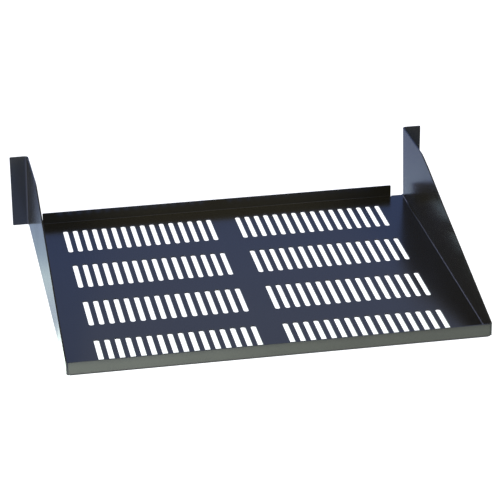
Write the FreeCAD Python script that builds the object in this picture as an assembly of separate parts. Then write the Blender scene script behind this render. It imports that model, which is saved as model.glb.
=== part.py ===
"""Cantilever rack shelf, folded from one blank of sheet steel.

A slotted floor carries a side panel along each edge, a lip across its free end and a
shorter lip across its rack end.  Each side panel ends in an ear, turned outwards, whose
far face bears on the front of the rack rails.  Sizes are in millimetres.

Frame: +Z up, +Y towards the ears, +X along the width.  The origin is on the underside,
midway between the two side panels and midway between the ears' far face and the free end.
"""
import FreeCAD, Part

import math
import os

from FreeCAD import Vector

# Sheet and folding
sheet = 1.5                  # thickness of the steel
bend_radius = 1.0            # inside radius of every bend
corner_radius = 1.0          # free corners of ears, lips and side panels
relief_width = 1.0           # slits cut beside a bend so that it can fold alone

# Overall
rack_width = 482.6           # over both ears, the 19 inch standard
ear_width = 18.4             # ear, measured outwards from the side panel's outer face
panel_height = 88.1          # ears and side panels at the rack end, two rack units
depth = 381.0                # ears' far face to the free end

# Side panels
level_length = 86.0          # top edge that runs level, from the ears' far face
toe_height = 17.0            # height of the side panel at the free end
hip_radius = 60.0            # soft corner between the level and the sloping top edge

# Lips
free_lip_height = 15.5
rack_lip_height = 15.0
rack_lip_inset = 16.0        # side panel's outer face to the end of the rack end's lip
seam = 0.4                   # gap between the free end's lip and each side panel

# Vent slots, in rows across the floor, each row in two groups
slot_width = 5.5
slot_length = 60.0
end_facets = 8               # short flats that make up a slot's round end
slot_pitch = 11.1            # centre to centre, along a row
group_spacing = 34.2         # between the innermost slots of the two groups
first_row = 54.2             # ears' far face to the middle of the first row
row_pitch = 94.2             # from one row's middle to the next
side_land = 30.0             # least plain floor between a slot and a side bend
end_land = 5.0               # least plain floor between a slot and the free end's bend

# Sizes that follow
outside_radius = bend_radius + sheet
body_width = rack_width - 2 * ear_width
side_x = body_width / 2                    # outer face of a side panel
rack_y = depth / 2                         # far face of the ears
free_y = -depth / 2                        # face of the free end
floor_half_width = side_x - outside_radius
ear_bottom = outside_radius + relief_width

X = Vector(1, 0, 0)
Y = Vector(0, 1, 0)
Z = Vector(0, 0, 1)
clear = 10.0                 # how far a cutting or trimming block runs past the sheet
same_point = 1e-6            # two points nearer than this are one


def rounded_wire(corners, radii):
    """Closed wire through the corners, each rounded to its radius (0 leaves it sharp)."""
    arcs = []
    for index, (corner, radius) in enumerate(zip(corners, radii)):
        to_previous = (corners[index - 1] - corner).normalize()
        to_next = (corners[(index + 1) % len(corners)] - corner).normalize()
        half_angle = to_previous.getAngle(to_next) / 2
        reach = radius / math.tan(half_angle)
        start = corner + to_previous * reach
        end = corner + to_next * reach
        inwards = (to_previous + to_next).normalize()
        middle = corner + inwards * (radius / math.sin(half_angle) - radius)
        arcs.append((start, middle, end))
    edges = []
    for index, (start, middle, end) in enumerate(arcs):
        if radii[index] > 0:
            edges.append(Part.Arc(start, middle, end).toShape())
        following = arcs[(index + 1) % len(arcs)][0]
        if end.distanceToPoint(following) > same_point:
            edges.append(Part.makeLine(end, following))
    return Part.Wire(edges)


def prism(corners, radii, run):
    """Solid swept along the vector run from the closed outline through the corners."""
    return Part.Face(rounded_wire(corners, radii)).extrude(run)


def block(low, high):
    """Box between two opposite corners."""
    size = high - low
    return Part.makeBox(size.x, size.y, size.z, low)


def angle(corner, bend_leg, free_leg, run):
    """Sheet folded to an L, swept along run.

    corner is the sharp outside corner, and the two legs are vectors from it.  The fold
    has the inside radius of the bends, and both faces of the sheet follow it.
    """
    along_bend = Vector(bend_leg).normalize()
    along_free = Vector(free_leg).normalize()
    corners = [
        corner + bend_leg,
        corner,
        corner + free_leg,
        corner + free_leg + along_bend * sheet,
        corner + (along_bend + along_free) * sheet,
        corner + bend_leg + along_free * sheet,
    ]
    return prism(corners, [0, outside_radius, 0, 0, bend_radius, 0], run)


def channel():
    """Floor and both side panels as one U section, before its ends are trimmed."""
    corners = [
        Vector(-side_x, free_y, panel_height),
        Vector(-side_x, free_y, 0),
        Vector(side_x, free_y, 0),
        Vector(side_x, free_y, panel_height),
        Vector(side_x - sheet, free_y, panel_height),
        Vector(side_x - sheet, free_y, sheet),
        Vector(-side_x + sheet, free_y, sheet),
        Vector(-side_x + sheet, free_y, panel_height),
    ]
    radii = [0, outside_radius, outside_radius, 0, 0, bend_radius, bend_radius, 0]
    return prism(corners, radii, Y * depth)


def side_outline():
    """Block with the side panels' outline: level, soft corner, slope down to the toe.

    Above the ear's lower edge the panel stops where the ear's bend begins.  Below it the
    floor and its side bend run on to the plane of the ears.
    """
    left = -side_x - clear
    ear_bend_y = rack_y - outside_radius
    corners = [
        Vector(left, free_y, 0),
        Vector(left, free_y, toe_height),
        Vector(left, rack_y - level_length, panel_height),
        Vector(left, ear_bend_y, panel_height),
        Vector(left, ear_bend_y, outside_radius),
        Vector(left, rack_y, outside_radius),
        Vector(left, rack_y, 0),
    ]
    radii = [0, corner_radius, hip_radius, 0, 0, 0, 0]
    return prism(corners, radii, X * (body_width + 2 * clear))


def ear():
    """Ear on the +X side: its bend stands upright and starts above the floor's bend."""
    bend = angle(
        Vector(side_x - sheet, rack_y, ear_bottom),
        -Y * outside_radius,
        X * (ear_width + sheet),
        Z * (panel_height - ear_bottom),
    )
    inner_x = side_x - sheet
    outer_x = side_x + ear_width
    front_y = rack_y - outside_radius - clear
    outline = prism(
        [
            Vector(inner_x, front_y, ear_bottom),
            Vector(outer_x, front_y, ear_bottom),
            Vector(outer_x, front_y, panel_height),
            Vector(inner_x, front_y, panel_height),
        ],
        [0, corner_radius, corner_radius, 0],
        Y * (outside_radius + 2 * clear),
    )
    return bend.common(outline)


def lip(face_y, inwards, half_width, height):
    """Upright lip and its bend; inwards is +1 or -1, from the lip's face to the floor."""
    fold = angle(
        Vector(-half_width, face_y, 0),
        Y * inwards * outside_radius,
        Z * height,
        X * 2 * half_width,
    )
    outline = prism(
        [
            Vector(-half_width, face_y - clear, -clear),
            Vector(half_width, face_y - clear, -clear),
            Vector(half_width, face_y - clear, height),
            Vector(-half_width, face_y - clear, height),
        ],
        [0, 0, corner_radius, corner_radius],
        Y * 2 * clear,
    )
    return fold.common(outline)


def free_end_notch():
    """Room for the free end's lip: the floor stops at its bend, between the side bends."""
    return block(
        Vector(-floor_half_width, free_y - clear, -clear),
        Vector(floor_half_width, free_y + outside_radius, panel_height),
    )


def corner_gaps():
    """Small square openings where the free end's bend would run into the side bends."""
    near_x = floor_half_width - relief_width
    far_x = side_x + clear
    gap_y = free_y + outside_radius
    return [
        block(Vector(near_x, free_y - clear, -clear), Vector(far_x, gap_y, outside_radius)),
        block(Vector(-far_x, free_y - clear, -clear), Vector(-near_x, gap_y, outside_radius)),
    ]


def free_lip():
    """Lip of the free end, between the side panels."""
    return lip(free_y, 1, side_x - sheet - seam, free_lip_height)


def rack_end_notch():
    """Room for the rack end's lip, with a slit beside each end of its bend."""
    half_width = side_x - rack_lip_inset + relief_width
    return block(
        Vector(-half_width, rack_y - outside_radius, -clear),
        Vector(half_width, rack_y + clear, panel_height),
    )


def rack_lip():
    """Lip of the rack end, which stops short of both side panels."""
    return lip(rack_y, -1, side_x - rack_lip_inset, rack_lip_height)


def vent_slot(x, y):
    """Cutter for one slot, its length along the shelf's depth and its two ends round.

    The ends are half circles in short flats, which keeps a floor with so many slots light.
    """
    radius = slot_width / 2
    reach = slot_length / 2 - radius
    outline = []
    for end in (1, -1):
        centre = Vector(x, y + end * reach, -clear)
        for step in range(end_facets + 1):
            turn = math.pi * step / end_facets
            outline.append(centre + (X * math.cos(turn) + Y * math.sin(turn)) * radius * end)
    outline.append(outline[0])
    return Part.Face(Part.makePolygon(outline)).extrude(Z * (sheet + 2 * clear))


def vent_slots():
    """Every slot that fits between the side bends and between the two ends."""
    outermost = floor_half_width - side_land - slot_width / 2
    per_group = int((outermost - group_spacing / 2) / slot_pitch) + 1
    last_row = depth - outside_radius - end_land - slot_length / 2
    rows = int((last_row - first_row) / row_pitch) + 1
    slots = []
    for row in range(rows):
        y = rack_y - first_row - row * row_pitch
        for place in range(per_group):
            x = group_spacing / 2 + place * slot_pitch
            slots.append(vent_slot(x, y))
            slots.append(vent_slot(-x, y))
    return slots


def folded_shelf():
    """The whole shelf as one solid."""
    tray = channel().common(side_outline())
    tray = tray.cut([free_end_notch(), rack_end_notch()])
    right_ear = ear()
    left_ear = right_ear.mirror(Vector(0, 0, 0), X)
    body = tray.fuse([free_lip(), rack_lip(), right_ear, left_ear])
    body = body.cut(corner_gaps() + vent_slots())
    return body.removeSplitter()


shelf = folded_shelf()
os.makedirs("parts", exist_ok=True)
shelf.exportStep("parts/shelf.step")
print("solids", len(shelf.Solids), "volume mm3", round(shelf.Volume), "valid", shelf.isValid())
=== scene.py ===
"""Looks of the cantilever rack shelf: the folded sheet, its paint and a plain studio."""
import math

import bmesh
import bpy
import numpy as np
from mathutils import Matrix, Vector


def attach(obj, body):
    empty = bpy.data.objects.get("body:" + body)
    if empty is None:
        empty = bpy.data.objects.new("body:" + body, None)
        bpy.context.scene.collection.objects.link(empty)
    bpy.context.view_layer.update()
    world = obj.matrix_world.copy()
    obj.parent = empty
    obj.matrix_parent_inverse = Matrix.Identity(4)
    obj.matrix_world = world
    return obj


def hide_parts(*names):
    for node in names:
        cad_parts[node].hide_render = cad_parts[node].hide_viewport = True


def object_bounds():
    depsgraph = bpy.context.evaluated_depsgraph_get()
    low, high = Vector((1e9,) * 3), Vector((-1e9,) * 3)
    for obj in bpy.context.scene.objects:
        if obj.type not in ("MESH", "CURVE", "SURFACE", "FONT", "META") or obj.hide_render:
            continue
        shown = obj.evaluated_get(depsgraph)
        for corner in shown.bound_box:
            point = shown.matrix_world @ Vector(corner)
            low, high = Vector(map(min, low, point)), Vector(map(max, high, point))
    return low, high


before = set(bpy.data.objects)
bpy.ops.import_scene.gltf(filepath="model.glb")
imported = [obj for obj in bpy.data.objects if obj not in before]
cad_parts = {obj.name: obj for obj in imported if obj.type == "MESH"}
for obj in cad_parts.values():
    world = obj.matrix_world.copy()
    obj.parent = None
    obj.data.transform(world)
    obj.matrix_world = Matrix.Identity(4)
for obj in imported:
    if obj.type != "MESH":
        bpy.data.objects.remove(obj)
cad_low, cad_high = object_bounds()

# ---------------------------------------------------------------- the sheet's floor
# The floor is the middle of one blank of 1.5 mm steel.  Its 128 vent slots are punched
# before the blank is folded, in four rows of two groups, so they stay flat and sharp.

sheet = 0.0015
middle = sheet / 2                     # the meshes follow the middle of the sheet
bend_radius = 0.0010                   # inside the bends at the floor's four edges
outside_radius = bend_radius + sheet
ear_bend_radius = 0.003                # inside the ears' bends, folded on a softer tool

rack_y = cad_high.y                    # far face of the ears
free_y = cad_low.y                     # face of the free end
panel_top = cad_high.z
ear_width = 0.0184
side_x = cad_high.x - ear_width        # outer face of a side panel
rack_bend_y = rack_y - outside_radius
ear_bend_y = rack_y - ear_bend_radius - sheet
free_bend_y = free_y + outside_radius
half_floor = side_x - outside_radius

rack_lip_inset = 0.016                 # side panel's outer face to the rack end's lip
rack_lip_half = side_x - rack_lip_inset
relief = 0.001                         # slits beside the lips' bends and under the ears
free_bend_half = half_floor - relief

slot_radius = 0.00275
slot_reach = 0.02725                   # slot's middle to the middle of its round end
slot_pitch = 0.0111
slots_in_group = 16
first_slot_x = 0.0171
first_row = 0.0542                     # ears' far face to the middle of the first row
row_pitch = 0.0942
row_count = 4
slot_rows = rack_y - first_row - row_pitch * np.arange(row_count)
cell_reach = 0.033                     # half the length of the plain border round a slot
cell_half = slot_pitch / 2
end_steps = 16                         # facets of a slot's round end
side_steps = 4                         # of these, how many face the cell's long side

corner_steps = 4                       # facets of a rounded corner
corner_step = 0.0012                   # between the floor's lines that lead to a lip's corner

patches = []                           # the sheet's surfaces, joined along their common edges


def grid(points, keep=None):
    """Surface through an array of points, rows by columns; keep says which cells stay.

    Each cell is one face, between a point, its neighbours in row and column, and the point
    across.
    """
    rows, columns = points.shape[:2]
    number = np.arange(rows * columns).reshape(rows, columns)
    faces = np.stack(
        [number[:-1, :-1], number[:-1, 1:], number[1:, 1:], number[1:, :-1]], axis=-1
    )
    if keep is not None:
        faces = faces[keep]
    patches.append((points.reshape(-1, 3), faces.reshape(-1, 4)))


def flat(x, y, z=middle):
    """Points of a level surface over every pair of x and y."""
    across, along = np.meshgrid(x, y, indexing="ij")
    return np.stack([across, along, np.full_like(across, z)], axis=-1)


def ruled(start, end, steps):
    """Surface of straight lines between two curves, cut into steps of equal length."""
    share = np.linspace(0, 1, steps + 1)[:, None, None]
    return start * (1 - share) + end * share


end_turn = np.linspace(0, math.pi, end_steps + 1)
slot_end = [0, slot_reach] + slot_radius * np.stack(
    [np.cos(end_turn), np.sin(end_turn)], axis=-1
)
side_rise = np.linspace(slot_reach, cell_reach, side_steps + 1)
edge_run = np.linspace(cell_half, -cell_half, end_steps - 2 * side_steps + 1)
cell_end = np.concatenate(
    [
        np.stack([np.full(side_steps + 1, cell_half), side_rise], axis=-1),
        np.stack([edge_run[1:-1], np.full(edge_run.size - 2, cell_reach)], axis=-1),
        np.stack([np.full(side_steps + 1, -cell_half), side_rise[::-1]], axis=-1),
    ]
)

# Each slot is a ring: from the slot's outline outwards to the rectangle of its cell.
slot_loop = np.concatenate([slot_end, -slot_end, slot_end[:1]])
cell_loop = np.concatenate([cell_end, -cell_end, cell_end[:1]])
right_slots = first_slot_x + slot_pitch * np.arange(slots_in_group)
slot_columns = np.concatenate([-right_slots[::-1], right_slots])
for slot_y in slot_rows:
    for slot_x in slot_columns:
        ring = np.stack([slot_loop, cell_loop]) + [slot_x, slot_y]
        grid(np.concatenate([ring, np.full(ring.shape[:2] + (1,), middle)], axis=-1))

# The plain floor lies between the cells, on lines that meet every point of their borders.
group_start = first_slot_x - cell_half
group_end = right_slots[-1] + cell_half
group_lines = np.linspace(group_start, group_end, (edge_run.size - 1) * slots_in_group + 1)
corner_lines = corner_step * np.arange(corner_steps + 1)[::-1]
right_lines = np.concatenate(
    [
        group_lines,
        rack_lip_half - corner_lines,
        [rack_lip_half + relief],
        free_bend_half - corner_lines,
        [half_floor],
    ]
)
floor_x = np.concatenate([-right_lines[::-1], [0], right_lines])

level_length = 0.086                   # of the side panels' top edge, from the ears
level_end_y = rack_y - level_length
toe_height = 0.017                     # of the side panels, at the free end
slope = math.atan((panel_top - toe_height) / (level_end_y - free_y))
hip_radius = 0.060                     # soft corner between the slope and the level
hip_reach = hip_radius * math.tan(slope / 2)
hip_lines = np.linspace(level_end_y - hip_reach, slot_rows[0] - cell_reach, 4)[:-1]
row_lines = np.concatenate([side_rise, -side_rise])
cell_lines = (slot_rows[:, None] + row_lines).ravel()
bend_ends = [free_bend_y, ear_bend_y, rack_bend_y, rack_y]
floor_y = np.sort(np.concatenate([cell_lines, hip_lines, bend_ends]))

middle_x = (floor_x[:-1] + floor_x[1:]) / 2
middle_y = (floor_y[:-1] + floor_y[1:]) / 2
in_group = (abs(middle_x) > group_start) & (abs(middle_x) < group_end)
in_row = (abs(middle_y[:, None] - slot_rows) < cell_reach).any(axis=1)
under_lip = abs(middle_x) < rack_lip_half + relief
keep_floor = ~(in_group[:, None] & in_row) & ~(under_lip[:, None] & (middle_y > rack_bend_y))
grid(flat(floor_x, floor_y), keep_floor)

# ---------------------------------------------------------------- side panels
# The two long edges are folded up 90 degrees.  Each panel runs level for 86 mm from the
# ears, turns over a soft corner and slopes down to 17 mm at the free end.  The folds'
# spring leaves both panels a little out of upright.

bend_steps = 8
corner_radius = 0.001
bend_turn = np.linspace(0, math.pi / 2, bend_steps + 1)
bend_middle = bend_radius + middle
bend_out = bend_middle * np.sin(bend_turn)
bend_up = outside_radius - bend_middle * np.cos(bend_turn)


def corner(centre, start, turn):
    """Points of a rounded corner: an arc round centre, from the angle start through turn."""
    angles = start + np.linspace(0, turn, corner_steps + 1)
    return centre + corner_radius * np.stack([np.cos(angles), np.sin(angles)], axis=-1)


def side_top():
    """Top edge as (y, z): the toe's corner, the slope, an arc for the hip, the level.

    The slope falls by the tangent of its angle.  The arc touches the slope and the level:
    above its centre it rises by the root of its radius squared less the square of the
    distance from its level end.
    """
    toe_centre_z = toe_height - corner_radius * (1 / math.cos(slope) - math.tan(slope))
    toe_centre = np.array([free_y + corner_radius, toe_centre_z])
    toe = corner(toe_centre, math.pi, slope - math.pi / 2)
    y = floor_y[(floor_y > free_bend_y) & (floor_y <= ear_bend_y)]
    ramp = panel_top - (level_end_y - y) * math.tan(slope)
    fall = np.clip(level_end_y + hip_reach - y, 0, 2 * hip_reach)
    arc = panel_top - hip_radius + np.sqrt(hip_radius**2 - fall**2)
    z = np.where(y < level_end_y - hip_reach, ramp, arc)
    return np.concatenate([toe, np.stack([y, z], axis=-1)])


top_edge = side_top()
toe_lines = np.linspace(free_y, free_bend_y, corner_steps + 1)
side_y = np.concatenate([toe_lines, floor_y[floor_y > free_bend_y]])
panel_y = side_y[side_y <= ear_bend_y]

ear_bottom = outside_radius + relief
ear_step = 0.004                       # between the panel's lines that lead to an ear's corner
ear_lines = ear_step * np.arange(corner_steps + 1)
rise = np.concatenate([[outside_radius], ear_bottom + ear_lines, panel_top - ear_lines[::-1]])
rise_share = (rise - outside_radius) / (panel_top - outside_radius)

bend_lines = side_y[side_y >= free_bend_y]

# How far the folds' spring brings each top edge inwards, at four places from the free end on.
lean_y = {-1: [free_y, -0.150, level_end_y, rack_y], 1: [free_y, 0.040, 0.075, rack_y]}
lean_top = {-1: [-0.0006, -0.0005, 0.0025, 0.0013], 1: [0.0001, 0.0004, 0, 0.0018]}


def lean(side, y, z):
    """Sideways shift of the side panel: the top edge's at y, times the share of the height.

    The share is 0 where the side bend ends and 1 at the top edge, whose height is taken to
    grow evenly from the toe to the level.
    """
    top = np.interp(y, [free_y, level_end_y], [toe_height, panel_top])
    share = (z - outside_radius) / (top - outside_radius)
    return -side * np.interp(y, lean_y[side], lean_top[side]) * share


for side in (-1, 1):
    bend_x, bend_y = np.meshgrid(half_floor + bend_out, bend_lines, indexing="ij")
    bend_z = np.broadcast_to(bend_up[:, None], bend_x.shape)
    grid(np.stack([side * bend_x, bend_y, bend_z], axis=-1))

    foot = np.stack([panel_y, np.full(panel_y.size, outside_radius)], axis=-1)
    panel = foot + (top_edge - foot) * rise_share[:, None, None]
    panel_x = side * (side_x - middle) + lean(side, panel[..., 0], panel[..., 1])
    grid(np.concatenate([panel_x[..., None], panel], axis=-1))

# ---------------------------------------------------------------- ears
# Each side panel ends in an ear, folded outwards over a softer tool than the lips.  Its far
# face bears on the rack's rails.  A slit under it keeps its bend clear of the floor's.

ear_rise = rise[1:]
ear_middle_y = rack_y - middle
outer_x = cad_high.x - corner_radius
low_centre = np.array([outer_x, ear_bottom + corner_radius])
high_centre = np.array([outer_x, panel_top - corner_radius])
low_corner = corner(low_centre, -math.pi / 2, math.pi / 2)
high_corner = corner(high_centre, 0, math.pi / 2)
ear_outline = np.concatenate([low_corner, high_corner])

ear_flat_steps = 3                     # faces across the flat of an ear
fold_radius = ear_bend_radius + middle
fold_x = side_x - middle + fold_radius * (1 - np.cos(bend_turn))
fold_y = ear_bend_y + fold_radius * np.sin(bend_turn)

for side in (-1, 1):
    ear_bend = np.stack(
        [
            side * fold_x[:, None] + lean(side, ear_bend_y, ear_rise),
            np.broadcast_to(fold_y[:, None], (fold_x.size, ear_rise.size)),
            np.broadcast_to(ear_rise, (fold_x.size, ear_rise.size)),
        ],
        axis=-1,
    )
    grid(ear_bend)
    ear_edge_y = np.full(ear_rise.size, ear_middle_y)
    ear_edge = np.stack([side * ear_outline[:, 0], ear_edge_y, ear_outline[:, 1]], axis=-1)
    grid(ruled(ear_bend[-1], ear_edge, ear_flat_steps))

# ---------------------------------------------------------------- lips
# Both ends of the floor are folded up about 15 mm to stiffen it.  The free end's lip fills
# the gap between the side panels, and the rack end's stops 16 mm short of their outer faces.

seam = 0.0004                          # between the free end's lip and each side panel
free_lip_half = side_x - sheet - seam
free_lip_height = 0.0155
rack_lip_height = 0.015
same_point = 1e-6                      # two points nearer than this are one


def lip(face_y, inwards, bend_half, half, height):
    """Lip whose outer face is at face_y; inwards is +1 or -1, from there to the floor.

    Its bend is a quarter circle over the width bend_half to each side.  From there it
    stands straight to its height over the width half, with both free corners rounded.
    """
    x = floor_x[abs(floor_x) <= bend_half + same_point]
    y = face_y + inwards * (outside_radius - bend_out)
    bend = np.stack(
        [
            np.broadcast_to(x, (y.size, x.size)),
            np.broadcast_to(y[:, None], (y.size, x.size)),
            np.broadcast_to(bend_up[:, None], (y.size, x.size)),
        ],
        axis=-1,
    )
    grid(bend)
    foot = bend[-1]
    if half > bend_half:
        overhang = np.array([[half, foot[0, 1], foot[0, 2]]])
        foot = np.concatenate([overhang * [-1, 1, 1], foot, overhang])
    right = corner(np.array([half - corner_radius, height - corner_radius]), 0, math.pi / 2)
    inner = foot[corner_steps + 1:-corner_steps - 1, 0]
    outline = np.concatenate(
        [
            right * [-1, 1],
            np.stack([inner, np.full(inner.size, height)], axis=-1),
            right[::-1],
        ]
    )
    head = np.stack([outline[:, 0], foot[:, 1], outline[:, 1]], axis=-1)
    shoulder = foot * [1, 1, 0] + [0, 0, height - corner_lines[0]]
    grid(np.stack([foot, shoulder, head]))


lip(rack_y, -1, rack_lip_half, rack_lip_half, rack_lip_height)
lip(free_y, 1, free_bend_half, free_lip_half, free_lip_height)

# ---------------------------------------------------------------- the whole sheet
# The patches are joined, given the sheet's thickness about their middle, and their cut
# edges are eased to the radius that the paint leaves on them.

paint_edge = 0.00016                   # radius of a painted edge
least_edge_turn = math.radians(40)     # the faces at a cut edge meet at more than this
first = np.cumsum([0] + [len(part) for part, _ in patches])
points = np.concatenate([part for part, _ in patches])
faces = np.concatenate([part + start for start, (_, part) in zip(first, patches)])

mesh = bpy.data.meshes.new("folded_sheet")
mesh.from_pydata(points.tolist(), [], faces.tolist())
build = bmesh.new()
build.from_mesh(mesh)
bmesh.ops.remove_doubles(build, verts=build.verts, dist=same_point)
loose = [vertex for vertex in build.verts if not vertex.link_faces]
bmesh.ops.delete(build, geom=loose, context="VERTS")
bmesh.ops.recalc_face_normals(build, faces=build.faces)
build.to_mesh(mesh)
build.free()
mesh.shade_smooth()

shelf = bpy.data.objects.new("folded_sheet", mesh)
bpy.context.scene.collection.objects.link(shelf)

thickness = shelf.modifiers.new("thickness", "SOLIDIFY")
thickness.thickness = sheet
thickness.offset = 0
thickness.use_even_offset = True
thickness.use_quality_normals = True

edges = shelf.modifiers.new("edges", "BEVEL")
edges.width = paint_edge
edges.segments = 2
edges.limit_method = "ANGLE"
edges.angle_limit = least_edge_turn
edges.use_clamp_overlap = False

shading = shelf.modifiers.new("shading", "WEIGHTED_NORMAL")
shading.weight = 100


def powder_coat():
    """Black semi-gloss powder coat: nearly black, with a fine orange peel.

    The roughness follows a soft cloud some centimetres wide.  The peel is a bump of fine
    noise about a millimetre wide.
    """
    material = bpy.data.materials.new("powder_coat")
    material.use_nodes = True
    nodes = material.node_tree.nodes
    links = material.node_tree.links
    paint = nodes["Principled BSDF"]
    paint.inputs["Base Color"].default_value = (0.019, 0.016, 0.008, 1)
    paint.inputs["IOR"].default_value = 1.5
    where = nodes.new("ShaderNodeTexCoord")
    cloud = nodes.new("ShaderNodeTexNoise")
    cloud.inputs["Scale"].default_value = 14
    cloud.inputs["Detail"].default_value = 3
    gloss = nodes.new("ShaderNodeMapRange")
    gloss.inputs["To Min"].default_value = 0.18
    gloss.inputs["To Max"].default_value = 0.26
    links.new(where.outputs["Object"], cloud.inputs["Vector"])
    links.new(cloud.outputs["Fac"], gloss.inputs["Value"])
    links.new(gloss.outputs["Result"], paint.inputs["Roughness"])
    peel = nodes.new("ShaderNodeTexNoise")
    peel.inputs["Scale"].default_value = 700
    peel.inputs["Detail"].default_value = 2
    bump = nodes.new("ShaderNodeBump")
    bump.inputs["Strength"].default_value = 0.015
    bump.inputs["Distance"].default_value = 0.0002
    links.new(where.outputs["Object"], peel.inputs["Vector"])
    links.new(peel.outputs["Fac"], bump.inputs["Height"])
    links.new(bump.outputs["Normal"], paint.inputs["Normal"])
    return material


mesh.materials.append(powder_coat())
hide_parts("shelf")
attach(shelf, "root")

# ---------------------------------------------------------------- studio
# A pale floor far below the shelf, a tent of blue-grey cloth round it for the gloss to
# mirror, two soft lamps high up at the sides and a bright strip low before the free end.

floor_z = -1.6
floor_reach = 9
floor_glow = 0.85                      # the floor's own light, for the eye and for mirrors
floor_grey = 0.4                       # its paint, which takes the lamps' light and shadow


def stage_object(name, mesh, material):
    """Puts a mesh of the studio into the scene with its material."""
    mesh.materials.append(material)
    item = bpy.data.objects.new(name, mesh)
    bpy.context.scene.collection.objects.link(item)
    return item


def floor_paint():
    """Pale floor that reads as white and still takes the shelf's soft shadow."""
    material = bpy.data.materials.new("studio_floor")
    material.use_nodes = True
    nodes = material.node_tree.nodes
    links = material.node_tree.links
    nodes.clear()
    path = nodes.new("ShaderNodeLightPath")
    in_gloss = nodes.new("ShaderNodeMath")
    in_gloss.operation = "MAXIMUM"
    links.new(path.outputs["Is Camera Ray"], in_gloss.inputs[0])
    links.new(path.outputs["Is Glossy Ray"], in_gloss.inputs[1])
    seen = nodes.new("ShaderNodeMath")
    seen.operation = "MAXIMUM"
    links.new(in_gloss.outputs[0], seen.inputs[0])
    links.new(path.outputs["Is Transmission Ray"], seen.inputs[1])
    level = nodes.new("ShaderNodeMath")
    level.operation = "MULTIPLY"
    level.inputs[1].default_value = floor_glow
    links.new(seen.outputs[0], level.inputs[0])
    glow = nodes.new("ShaderNodeEmission")
    links.new(level.outputs[0], glow.inputs["Strength"])
    lit = nodes.new("ShaderNodeBsdfDiffuse")
    lit.inputs["Color"].default_value = (floor_grey, floor_grey, floor_grey, 1)
    both = nodes.new("ShaderNodeAddShader")
    links.new(lit.outputs[0], both.inputs[0])
    links.new(glow.outputs[0], both.inputs[1])
    below = nodes.new("ShaderNodeNewGeometry")
    clear = nodes.new("ShaderNodeBsdfTransparent")
    sides = nodes.new("ShaderNodeMixShader")
    links.new(below.outputs["Backfacing"], sides.inputs[0])
    links.new(both.outputs[0], sides.inputs[1])
    links.new(clear.outputs[0], sides.inputs[2])
    out = nodes.new("ShaderNodeOutputMaterial")
    links.new(sides.outputs[0], out.inputs["Surface"])
    return material


floor_mesh = bpy.data.meshes.new("studio_floor")
corner_signs = np.array([[-1, -1, 1], [1, -1, 1], [1, 1, 1], [-1, 1, 1]])
floor_corners = corner_signs * [floor_reach, floor_reach, floor_z]
floor_mesh.from_pydata(floor_corners.tolist(), [], [(0, 1, 2, 3)])
stage_object("studio_floor", floor_mesh, floor_paint())


def cloth(name, points, colours):
    """Glowing cloth through a grid of points, each with its colour.

    The camera sees past it, and the gloss mirrors it.
    """
    patches.clear()
    grid(points)
    cloth_points, cloth_faces = patches[0]
    mesh = bpy.data.meshes.new(name)
    mesh.from_pydata(cloth_points.tolist(), [], cloth_faces.tolist())
    dye = mesh.attributes.new("dye", "FLOAT_COLOR", "POINT")
    opaque = np.concatenate([colours, np.ones(colours.shape[:2] + (1,))], axis=-1)
    dye.data.foreach_set("color", opaque.ravel())
    material = bpy.data.materials.new(name)
    material.use_nodes = True
    nodes = material.node_tree.nodes
    nodes.clear()
    colour = nodes.new("ShaderNodeAttribute")
    colour.attribute_name = "dye"
    glow = nodes.new("ShaderNodeEmission")
    out = nodes.new("ShaderNodeOutputMaterial")
    material.node_tree.links.new(colour.outputs["Color"], glow.inputs["Color"])
    material.node_tree.links.new(glow.outputs[0], out.inputs["Surface"])
    item = stage_object(name, mesh, material)
    item.visible_camera = False
    item.visible_shadow = False


def ease(value, start, end):
    """0 before start, 1 after end, and a smooth cubic step between them."""
    share = np.clip((value - start) / (end - start), 0, 1)
    return (share * share * (3 - 2 * share))[..., None]


# The tent's colours go by the direction from the shelf, in degrees: turn is 0 behind the
# rack end and grows to the right, height is 0 level with the shelf.  The lines lie closest
# near the hem, where the colour changes fastest.
tent_radius = 3.0
hem_lines = np.linspace(-31, -20, 56)
wall_lines = np.linspace(-18, 90, 73)
turn_lines = np.linspace(-180, 180, 361)
height_lines = np.concatenate([hem_lines, wall_lines])
turn, height = np.meshgrid(turn_lines, height_lines, indexing="ij")
tent_turn, tent_height = np.radians(turn), np.radians(height)
tent_points = tent_radius * np.stack(
    [
        np.sin(tent_turn) * np.cos(tent_height),
        np.cos(tent_turn) * np.cos(tent_height),
        np.sin(tent_height),
    ],
    axis=-1,
)

# The share of each length of cloth at a place, from 0 to 1.
behind = 1 - ease(abs(turn), 60, 90)
left_side = ease(-turn, 50, 70) * (1 - ease(-turn, 125, 150))
before = ease(abs(turn), 120, 150)
right_before = before * ease(turn, 0, 1) * (1 - ease(turn, 166, 174))
low = 1 - ease(height, -20, -10)

# The cloth is blue-grey.  Behind, it is deeper above the shelf, paler from 25 degrees up,
# where the near half of the floor mirrors it, and a little paler below.
tent_colours = np.ones(tent_points.shape) * [0.25, 0.35, 0.69]
tent_colours += behind * ease(height, 0, 10) * [-0.10, -0.09, -0.02]
tent_colours += behind * ease(height, 22.5, 27.5) * [0.19, 0.17, 0.07]
tent_colours += behind * (1 - ease(height, -16, -8)) * [0.08, 0.05, -0.01]

# A glow at the hem behind, brightest at its foot and wider on the left, lights the outside
# of the left panel.
hem_heights = [-27.9, -27.2, -26.6, -25.7, -24.5, -24.0, -23.4]
hem_glow = np.interp(height, hem_heights, [3.0, 1.0, 0.35, 0.42, 0.62, 0.45, 0])
tent_colours += behind * hem_glow[..., None] * [1.0, 1.15, 0.93]
left_hem = behind * (1 - ease(turn, -12, -8)) * ease(height, -25, -24.2)
tent_colours += left_hem * (1 - ease(height, -23, -20)) * [0.31, 0.45, 0.30]

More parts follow.
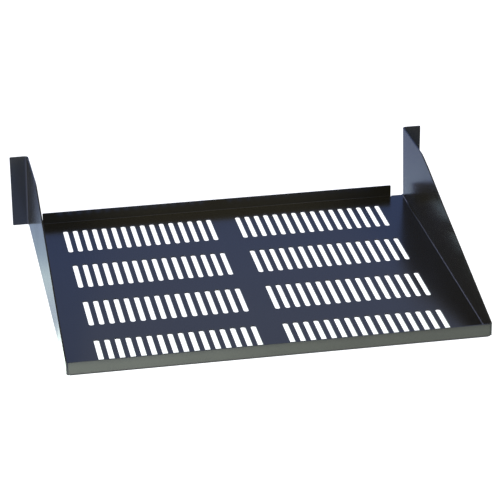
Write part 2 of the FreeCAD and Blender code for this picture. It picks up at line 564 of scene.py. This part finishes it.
# Further left a bright stretch lights the right panel's bend.  Higher up, the cloth to the
# left of the middle is nearly black.
left_stretch = behind * (1 - ease(turn, -22, -17)) * ease(height, -12, -4)
tent_colours += left_stretch * [1.45, 1.55, 2.2]
left_top = behind * (1 - ease(turn, -11, -7)) * ease(height, 11, 17)
left_top_shade = 0.97
tent_colours *= 1 - left_top_shade * left_top

# Low down it is paler on the left side and before the free end, and dark before it on the
# right.
tent_colours += left_side * low * [0.8, 0.9, 1.3]
tent_colours += before * low * [0.13, 0.23, 0.55]
tent_colours -= right_before * low * [0.33, 0.46, 0.91]

# The roof is nearly black.
roof_shade = 0.95
tent_colours *= 1 - roof_shade * ease(height, 40, 48)
cloth("tent", tent_points, tent_colours)

# The strip lies along x, tilted back, and its light fades from left to right.
strip_y = -0.30
strip_z = -0.05
strip_half_width = 0.02
strip_across = np.array([0, 0.47, 0.88])
strip_x = np.array([-0.29, -0.1, 0.02, 0.2, 0.33])
strip_glow = np.array([6.0, 5.0, 4.05, 3.5, 3.1])
strip_colour = [0.89, 1.0, 0.90]
strip_line = np.stack(
    [strip_x, np.full(strip_x.size, strip_y), np.full(strip_x.size, strip_z)], axis=-1
)
strip_edges = strip_half_width * np.array([[-1], [1]]) * strip_across
strip_points = strip_line + strip_edges[:, None]
strip_colours = np.broadcast_to(strip_glow[:, None] * strip_colour, strip_points.shape)
cloth("low_strip", strip_points, strip_colours)


def soft_lamp(name, place, size, power):
    """Square lamp of side size at place, turned towards the shelf."""
    lamp = bpy.data.lights.new(name, "AREA")
    lamp.size = size
    lamp.energy = power
    holder = bpy.data.objects.new(name, lamp)
    place = Vector(place)
    holder.matrix_world = (
        Matrix.Translation(place) @ (-place).to_track_quat("-Z", "Y").to_matrix().to_4x4()
    )
    holder.visible_camera = False
    bpy.context.scene.collection.objects.link(holder)


soft_lamp("left_lamp", place=(-1.6, -1.0, 1.4), size=1.2, power=45)
soft_lamp("right_lamp", place=(1.6, -1.0, 1.4), size=1.2, power=45)

world = bpy.data.worlds.new("studio")
world.use_nodes = True
world.node_tree.nodes["Background"].inputs["Color"].default_value = (1, 1, 1, 1)
world.node_tree.nodes["Background"].inputs["Strength"].default_value = 1
bpy.context.scene.world = world

# ---------------------------------------------------------------- camera
# A long lens 2.7 m away looks down on the shelf over the free end, from a little to the
# left, and is turned a trace about its own axis.

view_turn = math.radians(10.366)
view_drop = math.radians(24.677)
view_roll = math.radians(-0.506)
view_distance = 2.658
view_aim = Vector((0.01575, 0.07473, 0))
towards = Vector(
    (
        math.sin(view_turn) * math.cos(view_drop),
        math.cos(view_turn) * math.cos(view_drop),
        -math.sin(view_drop),
    )
)
camera_data = bpy.data.cameras.new("camera")
camera_data.sensor_width = 36
camera_data.lens = 169.28
camera_data.clip_end = 30
camera = bpy.data.objects.new("camera", camera_data)
camera.matrix_world = (
    Matrix.Translation(view_aim - towards * view_distance)
    @ towards.to_track_quat("-Z", "Y").to_matrix().to_4x4()
    @ Matrix.Rotation(view_roll, 4, "Z")
)
bpy.context.scene.collection.objects.link(camera)
bpy.context.scene.camera = camera
bpy.context.scene.view_settings.view_transform = "Standard"
